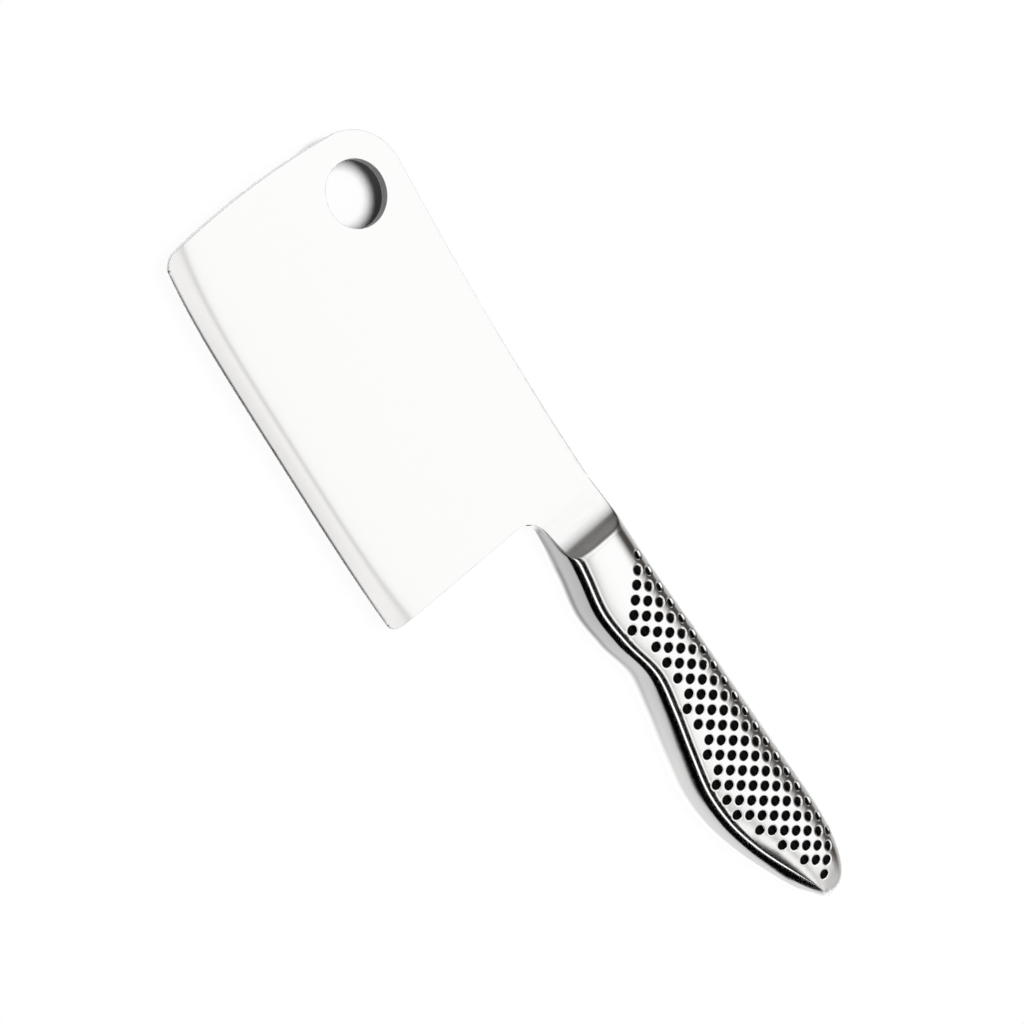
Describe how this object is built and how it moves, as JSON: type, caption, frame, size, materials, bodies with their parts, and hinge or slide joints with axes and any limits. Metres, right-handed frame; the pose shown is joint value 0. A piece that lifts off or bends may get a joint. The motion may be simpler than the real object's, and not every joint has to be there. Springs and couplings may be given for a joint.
{
  "type": "cleaver",
  "caption": "Compact all-steel kitchen cleaver: short rectangular blade with a hanging hole, flared neck, and a hollow dimpled handle with a wavy grip.",
  "frame": {"origin": "middle of the bounding box on the plane that the knife lies on, flat on its left side", "axes": "+X from the blade's front to the handle's tail, +Y from the cutting edge to the spine, +Z across the knife, up out of its right side"},
  "size_m": [0.2258, 0.0716, 0.0149],
  "materials": {
    "blade_steel": "fine satin ground stainless steel with a brighter ground bevel",
    "handle_steel": "matt satin stainless steel, brushed round the neck",
    "dimple_paint": "glossy black paint in the dimples",
    "sand": "loose fine sand, hidden inside the handle"
  },
  "bodies": {
    "root": {"blade": "blade_steel", "neck": "handle_steel", "handle_shell_right": "handle_steel", "handle_shell_left": "handle_steel", "sand_fill": "sand"}
  },
  "joints": []
}
